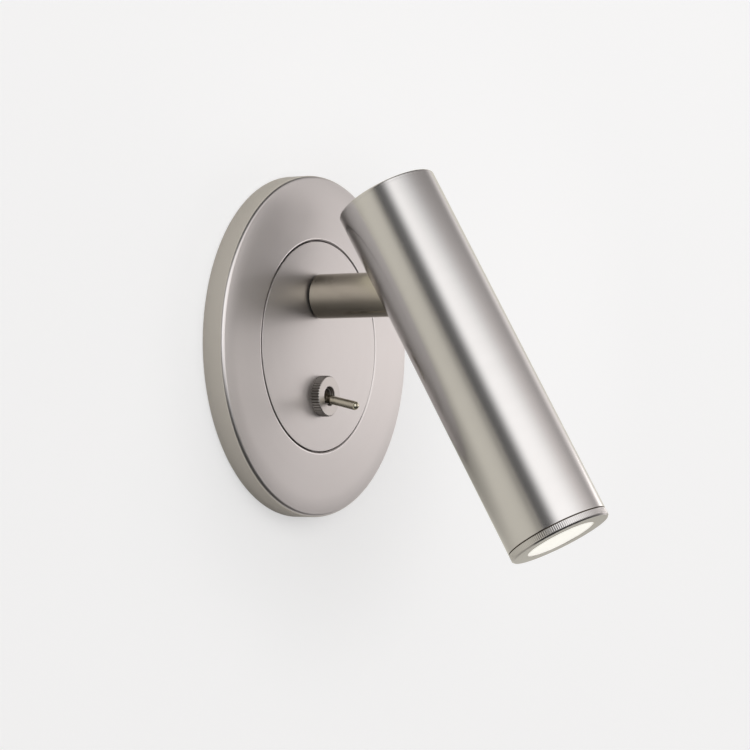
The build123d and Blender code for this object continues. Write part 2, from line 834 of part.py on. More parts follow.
def make_switch_terminals():
    """Three solder lugs on the back of the switch."""
    high = bushing_back_out - switch_body_depth
    half_width = terminal_width / 2
    half_height = terminal_thickness / 2
    lugs = []
    for step in (-1, 0, 1):
        z = -switch_drop + step * terminal_pitch
        low = high - terminal_length
        lugs.append(wall_box(-half_width, half_width, z - half_height, z + half_height, low, high))
    return lugs


def make_switch_lock_washer():
    """Toothed washer behind the centre plate, drawn as a plain ring."""
    low = plate_back_out - switch_lock_washer_thickness
    bore = bushing_radius + thread_gap
    return wall_ring(0, -switch_drop, low, plate_back_out, switch_lock_washer_radius, bore)


def make_switch_back_nut():
    """Hexagon nut that sets how far the bushing stands out."""
    high = plate_back_out - switch_lock_washer_thickness
    low = high - switch_back_nut_height
    return wall_hexagon(0, -switch_drop, low, high, switch_back_nut_flats, bushing_radius + thread_gap)


def make_knurled_nut():
    """Round front nut with straight V knurling and bevelled ends."""
    step = pi / knurl_teeth
    points = []
    for index in range(2 * knurl_teeth):
        radius = knurled_nut_radius - (index % 2) * knurl_depth
        points.append((radius * cos(index * step), radius * sin(index * step)))
    teeth = extrude(wall_plane(0, -switch_drop, plate_depth) * outline(*points), knurled_nut_height)
    top = plate_depth + knurled_nut_height
    bore = bushing_radius + thread_gap
    blank = outline(
        (bore, plate_depth),
        (knurled_nut_radius, plate_depth),
        (knurled_nut_radius, top),
        (bore, top),
    )
    blank = bevelled(blank, (knurled_nut_radius, top), knurled_nut_bevel)
    blank = bevelled(blank, (knurled_nut_radius, plate_depth), knurled_nut_bevel / 2)
    return teeth & wall_turned(blank, 0, -switch_drop)


def make_toggle_lever():
    """Bat lever with its ball and tail, in its lower position."""
    stem = outline(
        (0, 0),
        (lever_neck_radius, 0),
        (lever_neck_radius, lever_ball_radius),
        (lever_tip_radius, lever_reach),
        (0, lever_reach),
    )
    lever = wall_turned(stem, 0, 0) + Sphere(lever_ball_radius)
    lever += Pos(0, -lever_reach, 0) * Sphere(lever_tip_radius)
    lever += wall_rod(0, 0, -lever_tail_length, 0, lever_tail_radius)
    return Pos(0, -ball_out, -switch_drop) * Rot(lever_throw / 2, 0, 0) * lever


# ---- wiring parts behind the centre plate ----
def driver_screw_heights():
    """Heights of the two screws in the driver's feet."""
    height = service_half_height + driver_foot_reach / 2
    return [-height, height]


def make_driver_case():
    """Potted lamp driver with a foot at each end."""
    low = plate_back_out - driver_depth
    half = service_half_height
    case = wall_box(service_near, service_far, -half, half, low, plate_back_out)
    case = fillet(case.edges().filter_by(Axis.Y), driver_round)
    foot_low = plate_back_out - driver_foot_thickness
    feet = Rectangle(driver_foot_width, 2 * (half + driver_foot_reach))
    case += extrude(wall_plane(service_middle, 0, foot_low) * feet, driver_foot_thickness)
    for z in driver_screw_heights():
        case -= wall_rod(service_middle, z, foot_low, plate_back_out, driver_screw_radius + hole_gap)
    return case


def make_driver_screws():
    """Two screws that hold the driver to the centre plate."""
    seat = plate_back_out - driver_foot_thickness
    sizes = (seat, driver_screw_radius, driver_screw_head_radius, driver_screw_head_height)
    return [back_screw(service_middle, z, *sizes) for z in driver_screw_heights()]


def block_pole_heights():
    """Heights of the poles of the terminal block."""
    pitch = 2 * service_half_height / terminal_poles
    return [(index - (terminal_poles - 1) / 2) * pitch for index in range(terminal_poles)]


def block_screw_heights():
    """Heights of the two fixing screws, midway between the poles."""
    poles = block_pole_heights()
    return [(lower + upper) / 2 for lower, upper in zip(poles, poles[1:])]


def clamp_places():
    """Places of the clamp screws: two on each pole."""
    offset = (service_far - service_near) / 4
    return [
        (-service_middle + side * offset, z) for z in block_pole_heights() for side in (-1, 1)
    ]


def make_terminal_block():
    """Moulded block that joins the supply to the light."""
    low = plate_back_out - terminal_block_depth
    half = service_half_height
    block = wall_box(-service_far, -service_near, -half, half, low, plate_back_out)
    for x, z in clamp_places():
        well_end = low + clamp_sink + clamp_length + thread_gap
        block -= wall_rod(x, z, low, well_end, clamp_radius + thread_gap)
        side = 1 if x > -service_middle else -1
        face_x = -service_near if side > 0 else -service_far
        mouth_out = low + clamp_sink + clamp_length + wire_entry_radius + clear_room
        entry = Pos(face_x - side * wire_entry_depth / 2, -mouth_out, z) * Rot(0, 90, 0)
        block -= entry * Cylinder(wire_entry_radius, wire_entry_depth)
    for z in block_screw_heights():
        block -= wall_rod(-service_middle, z, low, plate_back_out, block_screw_radius + hole_gap)
    return block


def make_terminal_clamps():
    """Clamp screws of the terminal block, sunk in their wells."""
    low = plate_back_out - terminal_block_depth + clamp_sink
    return [wall_rod(x, z, low, low + clamp_length, clamp_radius) for x, z in clamp_places()]


def make_block_screws():
    """Two screws that hold the terminal block to the centre plate."""
    seat = plate_back_out - terminal_block_depth
    sizes = (seat, block_screw_radius, block_screw_head_radius, block_screw_head_height)
    return [back_screw(-service_middle, z, *sizes) for z in block_screw_heights()]


# ---- the whole light ----
sub_parts = {
    "trim_plate": make_trim_plate,
    "centre_plate": make_centre_plate,
    "plate_screws": make_plate_screws,
    "wall_bracket": make_wall_bracket,
    "rim_screws": make_rim_screws,
    "ground_screw": make_ground_screw,
    "arm_tube": make_arm_tube,
    "arm_root_plug": make_arm_root_plug,
    "arm_stem": make_arm_stem,
    "swivel_bush": make_swivel_bush,
    "friction_washer": make_friction_washer,
    "stop_washer": make_stop_washer,
    "spring_washer": make_spring_washer,
    "arm_lock_nut": make_arm_lock_nut,
    "stop_pin": make_stop_pin,
    "tilt_knuckle": make_tilt_knuckle,
    "pivot_carrier": make_pivot_carrier,
    "carrier_screws": make_carrier_screws,
    "pivot_bolt": make_pivot_bolt,
    "pivot_nut": make_pivot_nut,
    "tilt_washers": make_tilt_washers,
    "head_tube": make_head_tube,
    "end_cap": make_end_cap,
    "bezel_ring": make_bezel_ring,
    "front_lens": make_front_lens,
    "lens_gasket": make_lens_gasket,
    "reflector": make_reflector,
    "pillars": make_pillars,
    "heat_sink": make_heat_sink,
    "led_board": make_led_board,
    "led_chip": make_led_chip,
    "board_screws": make_board_screws,
    "switch_body": make_switch_body,
    "switch_bushing": make_switch_bushing,
    "switch_terminals": make_switch_terminals,
    "switch_lock_washer": make_switch_lock_washer,
    "switch_back_nut": make_switch_back_nut,
    "knurled_nut": make_knurled_nut,
    "toggle_lever": make_toggle_lever,
    "driver_case": make_driver_case,
    "driver_screws": make_driver_screws,
    "terminal_block": make_terminal_block,
    "terminal_clamps": make_terminal_clamps,
    "block_screws": make_block_screws,
}

os.makedirs("parts", exist_ok=True)
for name, make in sub_parts.items():
    shape = make()
    pieces = shape if isinstance(shape, list) else [shape]
    solids = [solid for piece in pieces for solid in piece.solids()]
    export_step(solids[0] if len(solids) == 1 else Compound(children=solids), f"parts/{name}.step")
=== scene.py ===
import json
from math import cos, pi, radians, sin, tan

import bmesh
import bpy
import numpy as np
from mathutils import Matrix, Vector


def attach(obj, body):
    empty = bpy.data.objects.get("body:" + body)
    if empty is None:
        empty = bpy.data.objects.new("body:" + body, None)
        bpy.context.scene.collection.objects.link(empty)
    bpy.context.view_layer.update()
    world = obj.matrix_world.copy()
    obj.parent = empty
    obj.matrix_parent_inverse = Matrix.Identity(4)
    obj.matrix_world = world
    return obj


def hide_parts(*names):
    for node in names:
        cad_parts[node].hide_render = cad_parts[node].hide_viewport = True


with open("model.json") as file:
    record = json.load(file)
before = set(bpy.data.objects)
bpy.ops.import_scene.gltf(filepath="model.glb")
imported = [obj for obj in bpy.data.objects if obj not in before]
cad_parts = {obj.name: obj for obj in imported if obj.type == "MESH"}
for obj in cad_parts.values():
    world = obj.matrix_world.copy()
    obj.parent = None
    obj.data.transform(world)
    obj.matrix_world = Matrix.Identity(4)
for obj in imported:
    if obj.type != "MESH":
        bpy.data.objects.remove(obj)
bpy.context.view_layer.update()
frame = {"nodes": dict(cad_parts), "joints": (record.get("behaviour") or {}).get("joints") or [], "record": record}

# Tube wall light in satin nickel: a round wall plate with a toggle switch, a short arm and a tilting
# tube head. Metres. The wall is the plane y = 0 and the light stands out from it along -Y. +Z is up and
# +X is to the right. Names that end in top, foot, front, back, root or end are distances along the axis of
# their piece: out from the wall, and for the head and the lever from their pivots.

mm = 0.001


# ---- places and sizes, worked out from the frame ----
joints = {joint["name"]: joint for joint in frame["joints"]}
pivot_place = np.array(joints["head_tilt"]["pos_m"])
ball_place = np.array(joints["switch_lever"]["pos_m"])
rest_tilt = -joints["head_tilt"]["range_deg"][0]
largest_tilt = rest_tilt + joints["head_tilt"]["range_deg"][1]
lever_droop = joints["switch_lever"]["range_deg"][1] / 2


def axle(place, droop):
    """Place and directions (across, upwards, along) of an axis that points out and down by droop degrees."""
    turn = radians(droop)
    across = np.array([1.0, 0.0, 0.0])
    upwards = np.array([0.0, -sin(turn), cos(turn)])
    along = np.array([0.0, -cos(turn), -sin(turn)])
    return np.array(place, dtype=float), across, upwards, along


def node_points(node):
    """Corners of a CAD node's mesh, as an array with a row for each."""
    mesh = frame["nodes"][node].data
    points = np.empty(3 * len(mesh.vertices))
    mesh.vertices.foreach_get("co", points)
    return points.reshape(-1, 3)


def span(node, line):
    """Radius about a line, and the lowest and highest distance along it, of a CAD node."""
    place, across, upwards, along = line
    points = node_points(node) - place
    radius = np.hypot(points @ across, points @ upwards).max()
    reach = points @ along
    return radius, reach.min(), reach.max()


arm_rise = pivot_place[2]
switch_height = ball_place[2]
plate_line = axle((0, 0, 0), 0)
arm_line = axle((0, 0, arm_rise), 0)
switch_line = axle((0, 0, switch_height), 0)
head_line = axle(pivot_place, 90 - rest_tilt)
lever_line = axle(ball_place, lever_droop)

plate_radius, plate_foot, plate_front = span("trim_plate", plate_line)
disc_radius, disc_back, disc_front = span("centre_plate", plate_line)
arm_radius, arm_root, arm_end = span("arm_tube", arm_line)
collar_radius, collar_back, collar_front = span("swivel_bush", arm_line)
stem_radius, _, _ = span("arm_stem", arm_line)
head_radius, barrel_top, barrel_foot = span("head_tube", head_line)
_, cap_top, cap_foot = span("end_cap", head_line)
_, grip_top, grip_foot = span("bezel_ring", head_line)
seat_radius, lens_back, lens_front = span("front_lens", head_line)
nut_radius, nut_back, nut_front = span("knurled_nut", switch_line)
bushing_radius, bushing_back, bushing_front = span("switch_bushing", switch_line)
_, lever_tail, lever_end = span("toggle_lever", lever_line)

# ---- sizes of fine detail ----
rim_wall = 2.0 * mm
rim_round = 1.2 * mm
rim_fall = 0.5 * mm
rim_fall_width = 7.0 * mm
rim_fall_shares = (0.65, 0.0)
rim_screw_out = 3.1 * mm
rim_hole_radius = 1.65 * mm
seam_gap = 0.3 * mm
seam_round = 0.8 * mm
seam_edge = 0.1 * mm
ledge_width = 4.5 * mm
ledge_thickness = 1.5 * mm
ledge_root = 3.5 * mm
crisp = 0.08 * mm
run_hold = 0.06 * mm
arm_wall = 1.25 * mm
arm_root_round = 0.6 * mm
arm_root_lip = 0.25 * mm
collar_fit = 0.08 * mm
collar_wall = 0.95 * mm
head_wall = 1.5 * mm
head_fit = 0.1 * mm
slot_gap = 0.8 * mm
carrier_hole_radius = 1.65 * mm
carrier_hole_depths = (13.24 * mm, 18.76 * mm)
cap_round = 0.45 * mm
cap_joint_round = 0.03 * mm
foot_round = 0.14 * mm
grip_band = 2.5 * mm
grip_groove_depth = 0.6 * mm
grip_bevel = 0.48 * mm
grip_lip = 0.8 * mm
grip_lip_width = 1.8 * mm
grip_pitch = 0.70 * mm
grip_relief = 0.06 * mm
grip_shade = 0.2
nut_teeth = 42
nut_tooth_depth = 0.45 * mm
nut_bevel = 0.4 * mm
nut_band_shade = 0.25
nut_root_shade = 0.5
thread_pitch = 0.635 * mm
thread_depth = 0.16 * mm
bushing_bore = 2.5 * mm
bushing_bevel = 0.32 * mm
bushing_bevel_length = 0.4 * mm
lever_ball = 2.2 * mm
lever_neck = 1.3 * mm
lever_waist = 1.42 * mm
lever_waist_share = 0.15
lever_tip = 1.50 * mm
lever_short = 0.3 * mm
lever_tail_radius = 0.9 * mm

# ---- fineness of the meshes ----
plate_columns = 360
disc_columns = 240
arm_columns = 192
collar_columns = 128
barrel_columns = 360
cap_columns = 256
lens_columns = 192
columns_per_groove = 6
columns_per_tooth = 12
bushing_columns = 96
lever_columns = 96
cutter_columns = 64
arc_steps = 7
rim_arc_steps = 12
grip_arc_steps = 6
fall_rows = 6
band_rows = 6
tooth_bevel_rows = 12
nut_thread_rows = 48
bushing_thread_rows = 96
ball_rows = 24
tip_rows = 16
merge_distance = 1e-7
sharp_angle = 35


# ---- outlines ----
def outline(corners, closed, steps):
    """Line through (distance from the axis, distance along it, round) corners, each round made an arc.

    A corner's arc has its centre on the line that halves the corner, at round / sin(half its angle), and
    leaves each run at round / tan(half its angle). Two more points on every long run, run_hold from its
    ends, keep the shading of a run flat up to its arcs. Returns the points, how much each lies on a round
    (0 or 1) and the distance gone along the line.
    """
    spots = np.array([corner[:2] for corner in corners], dtype=float)
    rounds = [corner[2] if len(corner) > 2 else 0.0 for corner in corners]
    parts = []
    for number, (spot, size) in enumerate(zip(spots, rounds)):
        if size == 0:
            parts.append(spot[None, :])
            continue
        before = spots[number - 1] - spot
        after = spots[(number + 1) % len(spots)] - spot
        before /= np.linalg.norm(before)
        after /= np.linalg.norm(after)
        half = np.arccos(np.clip(before @ after, -1, 1)) / 2
        middle = spot + (before + after) / np.linalg.norm(before + after) * size / np.sin(half)
        first = spot + before * size / np.tan(half) - middle
        last = spot + after * size / np.tan(half) - middle
        start = np.arctan2(first[1], first[0])
        sweep = (np.arctan2(last[1], last[0]) - start + pi) % (2 * pi) - pi
        turn = start + sweep * np.linspace(0, 1, steps)
        parts.append(middle + size * np.stack([np.cos(turn), np.sin(turn)], axis=1))
    points, on_round = [], []
    for number, part in enumerate(parts):
        points.append(part)
        on_round.append(np.full(len(part), float(len(part) > 1)))
        if number == len(parts) - 1 and not closed:
            break
        start, end = part[-1], parts[(number + 1) % len(parts)][0]
        length = np.linalg.norm(end - start)
        if length > 4 * run_hold:
            step = (end - start) / length * run_hold
            points.append(np.stack([start + step, end - step]))
            on_round.append(np.zeros(2))
    points = np.concatenate(points)
    gone = np.concatenate([[0], np.cumsum(np.linalg.norm(np.diff(points, axis=0), axis=1))])
    return points, np.concatenate(on_round), gone


# ---- surfaces ----
def grid_mesh(name, points, wrap_rows, **marks):
    """Mesh of a grid of points whose columns run all the way round. Points that coincide are merged.

    Marks are grids of numbers that its finish reads.
    """
    rows, columns = points.shape[:2]
    order = np.arange(rows * columns).reshape(rows, columns)
    order = np.concatenate([order, order[:, :1]], axis=1)
    if wrap_rows:
        order = np.concatenate([order, order[:1]], axis=0)
    above, below = order[:-1], order[1:]
    faces = np.stack([above[:, :-1], below[:, :-1], below[:, 1:], above[:, 1:]], axis=-1).reshape(-1, 4)
    mesh = bpy.data.meshes.new(name)
    mesh.vertices.add(rows * columns)
    mesh.vertices.foreach_set("co", points.reshape(-1))
    mesh.loops.add(faces.size)
    mesh.loops.foreach_set("vertex_index", faces.reshape(-1))
    mesh.polygons.add(len(faces))
    mesh.polygons.foreach_set("loop_start", np.arange(0, faces.size, 4))
    mesh.update(calc_edges=True)
    for label, values in marks.items():
        layer = mesh.attributes.new(label, "FLOAT", "POINT")
        layer.data.foreach_set("value", values.reshape(-1).astype(np.float32))
    work = bmesh.new()
    work.from_mesh(mesh)
    bmesh.ops.remove_doubles(work, verts=work.verts, dist=merge_distance)
    bmesh.ops.recalc_face_normals(work, faces=work.faces)
    work.to_mesh(mesh)
    work.free()
    return mesh


def turned(name, corners, line, columns, closed=True, relief=None, steps=arc_steps):
    """Surface of revolution about a line.

    A point is place + radius * (cos(angle) * across + sin(angle) * upwards) + height * along, and the radius
    and height follow an outline. Relief changes the radius with height and angle, and says how deep each
    point lies in a groove, from 0 to 1, which the finish paints dark as shade.
    """
    place, across, upwards, along = line
    points, rounds, gone = outline(corners, closed, steps)
    angle = np.linspace(0, 2 * pi, columns, endpoint=False)[None, :]
    every = np.ones((1, columns))
    radius = points[:, :1] * every
    height = points[:, 1:] * every
    sunk = 0 * radius
    if relief is not None:
        radius, sunk = relief(radius, height, angle)
    spots = (
        place
        + (radius * np.cos(angle))[..., None] * across
        + (radius * np.sin(angle))[..., None] * upwards
        + height[..., None] * along
    )
    rounded = rounds[:, None] * every
    distance_gone = gone[:, None] * every
    mesh = grid_mesh(name, spots, closed, rounded=rounded, distance_gone=distance_gone, sunk=sunk)
    piece = bpy.data.objects.new(name, mesh)
    bpy.context.scene.collection.objects.link(piece)
    return piece


def rod(name, line, start, end, half_width, stretch=0.0):
    """Prism for cutting: a disc, or a long hole when stretched, carried from start to end.

    Its outline is half_width * (cos(angle), sin(angle)), moved by stretch / 2 up or down with the sign of
    the sine. Its ends shrink to a point in one step, which closes them.
    """
    place, across, upwards, along = line
    angle = (np.arange(cutter_columns) + 0.5) * 2 * pi / cutter_columns
    x = half_width * np.cos(angle)
    y = half_width * np.sin(angle) + stretch / 2 * np.sign(np.sin(angle))
    scale = np.array([0.0, 1.0, 1.0, 0.0])[:, None]
    height = np.array([start, start, end, end])[:, None] + 0 * x
    spots = (
        place
        + (scale * x)[..., None] * across
        + (scale * y)[..., None] * upwards
        + height[..., None] * along
    )
    mesh = grid_mesh(name, spots, False)
    piece = bpy.data.objects.new(name, mesh)
    bpy.context.scene.collection.objects.link(piece)
    return piece


def cut_away(piece, cutters):
    """Takes the cutters' space out of a piece, and the cutters out of the scene."""
    for cutter in cutters:
        modifier = piece.modifiers.new("cut", "BOOLEAN")
        modifier.operation = "DIFFERENCE"
        modifier.solver = "EXACT"
        modifier.object = cutter
    bpy.context.view_layer.update()
    cut_piece = piece.evaluated_get(bpy.context.evaluated_depsgraph_get())
    cut_mesh = bpy.data.meshes.new_from_object(cut_piece)
    whole_mesh = piece.data
    piece.modifiers.clear()
    piece.data = cut_mesh
    bpy.data.meshes.remove(whole_mesh)
    cut_mesh.name = piece.name
    for cutter in cutters:
        bpy.data.objects.remove(cutter)


def fit(piece, body, slot, finish, *nodes):
    """Smooths a piece, gives it its finish and puts it in the place of its CAD nodes."""
    mesh = piece.data
    mesh.polygons.foreach_set("use_smooth", np.ones(len(mesh.polygons), dtype=bool))
    mesh.set_sharp_from_angle(angle=radians(sharp_angle))
    mesh.materials.clear()
    mesh.materials.append(finish)
    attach(piece, body)
    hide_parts(*nodes)


# ---- wall plate ----
def make_trim_shell(finish):
    """Outer plate: its rim rolls over into the face, which ends in the rounded edge of the seam.

    Over the last rim_fall_width of its radius the face falls by rim_fall * share ** 2, where share would
    reach 1 at the rim. The rim's own round takes over before that.
    """
    opening = disc_radius + seam_gap
    inner = opening - seam_gap / 2 - ledge_width
    outside = opening + ledge_root
    ledge_back = disc_back - ledge_thickness
    shares = np.linspace(*rim_fall_shares, fall_rows)
    fall_radius = plate_radius - rim_fall_width * (1 - shares)
    fall_height = plate_front - rim_fall * shares**2
    corners = [
        (plate_radius, plate_foot, crisp),
        (plate_radius, plate_front - rim_fall, rim_round),
        *zip(fall_radius, fall_height),
        (opening, plate_front, seam_round),
        (opening, disc_back),
        (inner, disc_back),
        (inner, ledge_back, crisp),
        (outside, ledge_back, crisp),
        (outside, disc_back),
        (plate_radius - rim_wall, disc_back, rim_wall / 4),
        (plate_radius - rim_wall, plate_foot, crisp),
    ]
    shell = turned("trim_shell", corners, plate_line, plate_columns, steps=rim_arc_steps)
    _, across, upwards, along = plate_line
    rim_line = (np.array([0.0, -rim_screw_out, 0.0]), across, along, upwards)
    cut_away(shell, [rod("rim_hole", rim_line, -2 * plate_radius, 2 * plate_radius, rim_hole_radius)])
    fit(shell, "base", "plate_nickel", finish, "trim_plate")


def make_centre_disc(finish):
    """Inner plate: flush with the outer one, with the crisp edge of the seam."""
    corners = [
        (0.0, disc_back),
        (disc_radius, disc_back, crisp),
        (disc_radius, disc_front, seam_edge),
        (0.0, disc_front),
    ]
    disc = turned("centre_disc", corners, plate_line, disc_columns, closed=False)
    swivel_hole = stem_radius + collar_fit + collar_wall + collar_fit
    cutters = [
        rod("swivel_hole", arm_line, 0, 2 * plate_front, swivel_hole),
        rod("switch_hole", switch_line, 0, 2 * plate_front, bushing_radius + 2 * collar_fit),
    ]
    cut_away(disc, cutters)
    fit(disc, "base", "plate_nickel", finish, "centre_plate")


# ---- arm ----
def make_arm_sleeve(finish):
    """Round tube of the arm, with a rounded root whose lip reaches round the flange of the collar."""
    bore = arm_radius - arm_wall
    lip = arm_root - arm_root_lip
    corners = [
        (bore, arm_root, crisp),
        (collar_radius + collar_fit, arm_root),
        (collar_radius + collar_fit, lip, crisp),
        (arm_radius, lip, arm_root_round),
        (arm_radius, arm_end, crisp),
        (bore, arm_end, crisp),
    ]
    sleeve = turned("arm_sleeve", corners, arm_line, arm_columns)
    fit(sleeve, "arm", "arm_nickel", finish, "arm_tube")


def make_swivel_collar(finish):
    """Flanged bush: its flange is the dark line between the plate and the arm."""
    bore = stem_radius + collar_fit
    sleeve = bore + collar_wall
    corners = [
        (bore, collar_back, crisp),
        (sleeve, collar_back, crisp),
        (sleeve, plate_front),
        (collar_radius, plate_front),
        (collar_radius, collar_front, crisp),
        (bore, collar_front, crisp),
    ]
    collar = turned("swivel_collar", corners, arm_line, collar_columns)
    fit(collar, "base", "black_nylon", finish, "swivel_bush")


# ---- head ----
def make_barrel(finish):
    """Tube of the head, cut by the long slot that the arm passes through and by two screw holes.

    At the largest tilt the arm takes up head_radius * tan(tilt) + arm_radius / cos(tilt) of the tube's back
    above the pivot.
    """
    bore = head_radius - head_wall
    corners = [
        (bore, barrel_top, crisp),
        (head_radius, barrel_top, cap_joint_round),
        (head_radius, barrel_foot, foot_round),
        (bore, barrel_foot, crisp),
    ]
    barrel = turned("barrel", corners, head_line, barrel_columns)
    place, across, upwards, along = head_line
    half_width = arm_radius + slot_gap
    tilt = radians(largest_tilt)
    reach = head_radius * tan(tilt) + arm_radius / cos(tilt) + slot_gap
    run = reach - half_width
    back_line = (place - along * run / 2, across, along, -upwards)
    cutters = [rod("slot", back_line, 0, 2 * head_radius, half_width, stretch=run)]
    for depth in carrier_hole_depths:
        hole_line = (place + along * depth, across, along, -upwards)
        cutters.append(rod("screw_hole", hole_line, 0, 2 * head_radius, carrier_hole_radius))
    cut_away(barrel, cutters)
    fit(barrel, "head", "tube_nickel", finish, "head_tube")


def make_top_cap(finish):
    """Cap of the head, with a rounded edge and a hairline joint above the tube."""
    spigot = head_radius - head_wall - head_fit
    corners = [
        (0.0, cap_top),
        (head_radius, cap_top, cap_round),
        (head_radius, barrel_top, cap_joint_round),
        (spigot, barrel_top, crisp),
        (spigot, cap_foot, crisp),
        (0.0, cap_foot),
    ]
    cap = turned("top_cap", corners, head_line, cap_columns, closed=False)
    fit(cap, "head", "tube_nickel", finish, "end_cap")


grip_count = round(2 * pi * head_radius / grip_pitch)


def grip_relief_of(radius, height, angle):
    """Takes fine straight grooves out of the band: (1 - cos(count * angle)) / 2 deep, faded at its ends.

    They are painted a little dark as shade, and the groove above the band wholly dark, as painted shade.
    """
    band_top = grip_foot - grip_band
    rise = np.clip((height - band_top) / crisp / 2, 0, 1)
    fall = np.clip((grip_foot - grip_bevel - height) / crisp / 2, 0, 1)
    outer = radius > head_radius - crisp
    cut = outer * rise * fall * (1 - np.cos(grip_count * angle)) / 2
    neck = head_radius - grip_groove_depth
    in_groove = (np.abs(radius - neck) < crisp) & (height < band_top + crisp)
    # Painted shade: the knurl's grooves a little, the groove above the band wholly.
    return radius - grip_relief * cut, grip_shade * cut + in_groove


def make_grip_ring(finish):
    """Grip ring at the foot of the tube: a groove painted dark as shade, a finely knurled band, a bevel and a flat
    face.
    """
    bore = seat_radius + head_fit
    opening = bore - grip_lip_width
    band_top = grip_foot - grip_band
    neck = head_radius - grip_groove_depth
    fit_radius = head_radius - head_wall - head_fit
    band = np.linspace(band_top + 2 * crisp, grip_foot - grip_bevel - 2 * crisp, band_rows)
    corners = [
        (opening, grip_foot, crisp),
        (head_radius - grip_bevel, grip_foot, crisp / 2),
        (head_radius, grip_foot - grip_bevel, crisp / 2),
        *[(head_radius, height) for height in band[::-1]],
        (head_radius, band_top, crisp),
        (neck, band_top),
        (neck, barrel_foot),
        (fit_radius, barrel_foot),
        (fit_radius, grip_top, crisp),
        (bore, grip_top, crisp),
        (bore, grip_foot - grip_lip),
        (opening, grip_foot - grip_lip, crisp),
    ]
    columns = columns_per_groove * grip_count
    ring = turned("grip_ring", corners, head_line, columns, relief=grip_relief_of, steps=grip_arc_steps)
    fit(ring, "head", "tube_nickel", finish, "bezel_ring")


def make_opal_lens(finish):
    """Opal lens: a flat boss in the opening, with a flange behind the lip."""
    boss = seat_radius - grip_lip_width
    shoulder = grip_foot - grip_lip
    corners = [
        (0.0, lens_back),
        (seat_radius, lens_back, crisp),
        (seat_radius, shoulder, crisp),
        (boss, shoulder),
        (boss, lens_front, crisp),
        (0.0, lens_front),
    ]
    lens = turned("opal_lens", corners, head_line, lens_columns, closed=False)
    fit(lens, "head", "lens_opal", finish, "front_lens")


# ---- switch ----
def thread_wave(height, angle):
    """Thread: a triangle wave of height / pitch - angle / full turn, from 1 to 0 and back in each turn."""
    phase = (height / thread_pitch - angle / (2 * pi)) % 1
    return np.abs(2 * phase - 1)


def nut_relief(radius, height, angle):
    """Cuts V teeth into the outside, which follow a triangle wave of the angle, and a thread into the bore.

    The toothed band is painted partly dark all over as shade, and its roots most. The roots of the bore's thread
    are painted dark as shade too.
    """
    wave = np.abs(2 * ((nut_teeth * angle / (2 * pi)) % 1) - 1)
    toothed = np.minimum(radius, nut_radius - nut_tooth_depth * wave)
    inner = radius < bushing_radius + 2 * collar_fit
    inside = (height > nut_back + nut_bevel) & (height < nut_front - nut_bevel)
    thread = thread_wave(height, angle) * inside
    banded = radius > nut_radius - nut_bevel / 2
    # Painted shade: the knurled band and the roots of the bore's thread are darkened.
    sunk = np.where(inner, thread, banded * (nut_band_shade + nut_root_shade * wave))
    return np.where(inner, radius + thread_depth * thread, toothed), sunk


def make_knurled_nut(finish):
    """Round front nut: straight V teeth that end in bevels, a flat face and a threaded bore."""
    bore = bushing_radius + collar_fit / 2
    shares = np.linspace(0, 1, tooth_bevel_rows)
    bevel = zip(nut_radius - nut_bevel * shares, nut_front - nut_bevel * (1 - shares))
    inner_rows = np.linspace(nut_front - crisp * 2, nut_back + crisp * 2, nut_thread_rows)
    corners = [
        (nut_radius - nut_bevel / 2, nut_back),
        (nut_radius, nut_back + nut_bevel / 2),
        *bevel,
        (bore + nut_bevel / 2, nut_front, crisp),
        *[(bore, height) for height in inner_rows],
        (bore, nut_back),
    ]
    columns = columns_per_tooth * nut_teeth
    nut = turned("knurled_front_nut", corners, switch_line, columns, relief=nut_relief)
    fit(nut, "base", "switch_nickel", finish, "knurled_nut")


def bushing_relief(radius, height, angle):
    """Cuts a thread into the outside of the bushing, and paints its roots dark as shade."""
    # Painted shade: the thread's roots are darkened.
    sunk = (radius > bushing_radius - collar_fit) * (1 - thread_wave(height, angle))
    return radius - thread_depth * sunk, sunk


def make_threaded_bushing(finish):
    """Bushing of the switch, threaded outside, with a bevelled mouth that the lever leans in."""
    thread_end = bushing_front - bushing_bevel_length
    rows = np.linspace(bushing_back + 2 * crisp, thread_end, bushing_thread_rows)
    corners = [
        (bushing_bore, bushing_back),
        (bushing_radius, bushing_back),
        *[(bushing_radius, height) for height in rows],
        (bushing_radius - bushing_bevel, bushing_front, crisp / 2),
        (bushing_bore, bushing_front, crisp),
    ]
    bushing = turned("threaded_bushing", corners, switch_line, bushing_columns, relief=bushing_relief)
    fit(bushing, "base", "switch_nickel", finish, "switch_bushing")


def make_bat_lever(finish):
    """Lever of the switch: a ball, a neck that widens to a long waist, a round end and a short tail."""
    tail_turn = np.arcsin(lever_tail_radius / lever_ball)
    neck_turn = np.arcsin(lever_neck / lever_ball)
    ball_turn = np.linspace(pi - tail_turn, neck_turn, ball_rows)
    ball = [(lever_ball * sin(turn), lever_ball * cos(turn)) for turn in ball_turn]
    end = lever_end - lever_short
    tip_place = end - lever_tip
    waist_place = lever_ball + lever_waist_share * (tip_place - lever_ball)
    tip_turn = np.linspace(pi / 2, 0, tip_rows)
    tip = [(lever_tip * sin(turn), tip_place + lever_tip * cos(turn)) for turn in tip_turn]
    corners = [(0.0, lever_tail), (lever_tail_radius, lever_tail, crisp), *ball]
    corners += [(lever_waist, waist_place), *tip[:-1], (0.0, end)]
    lever = turned("bat_lever", corners, lever_line, lever_columns, closed=False)
    fit(lever, "lever", "switch_nickel", finish, "toggle_lever")


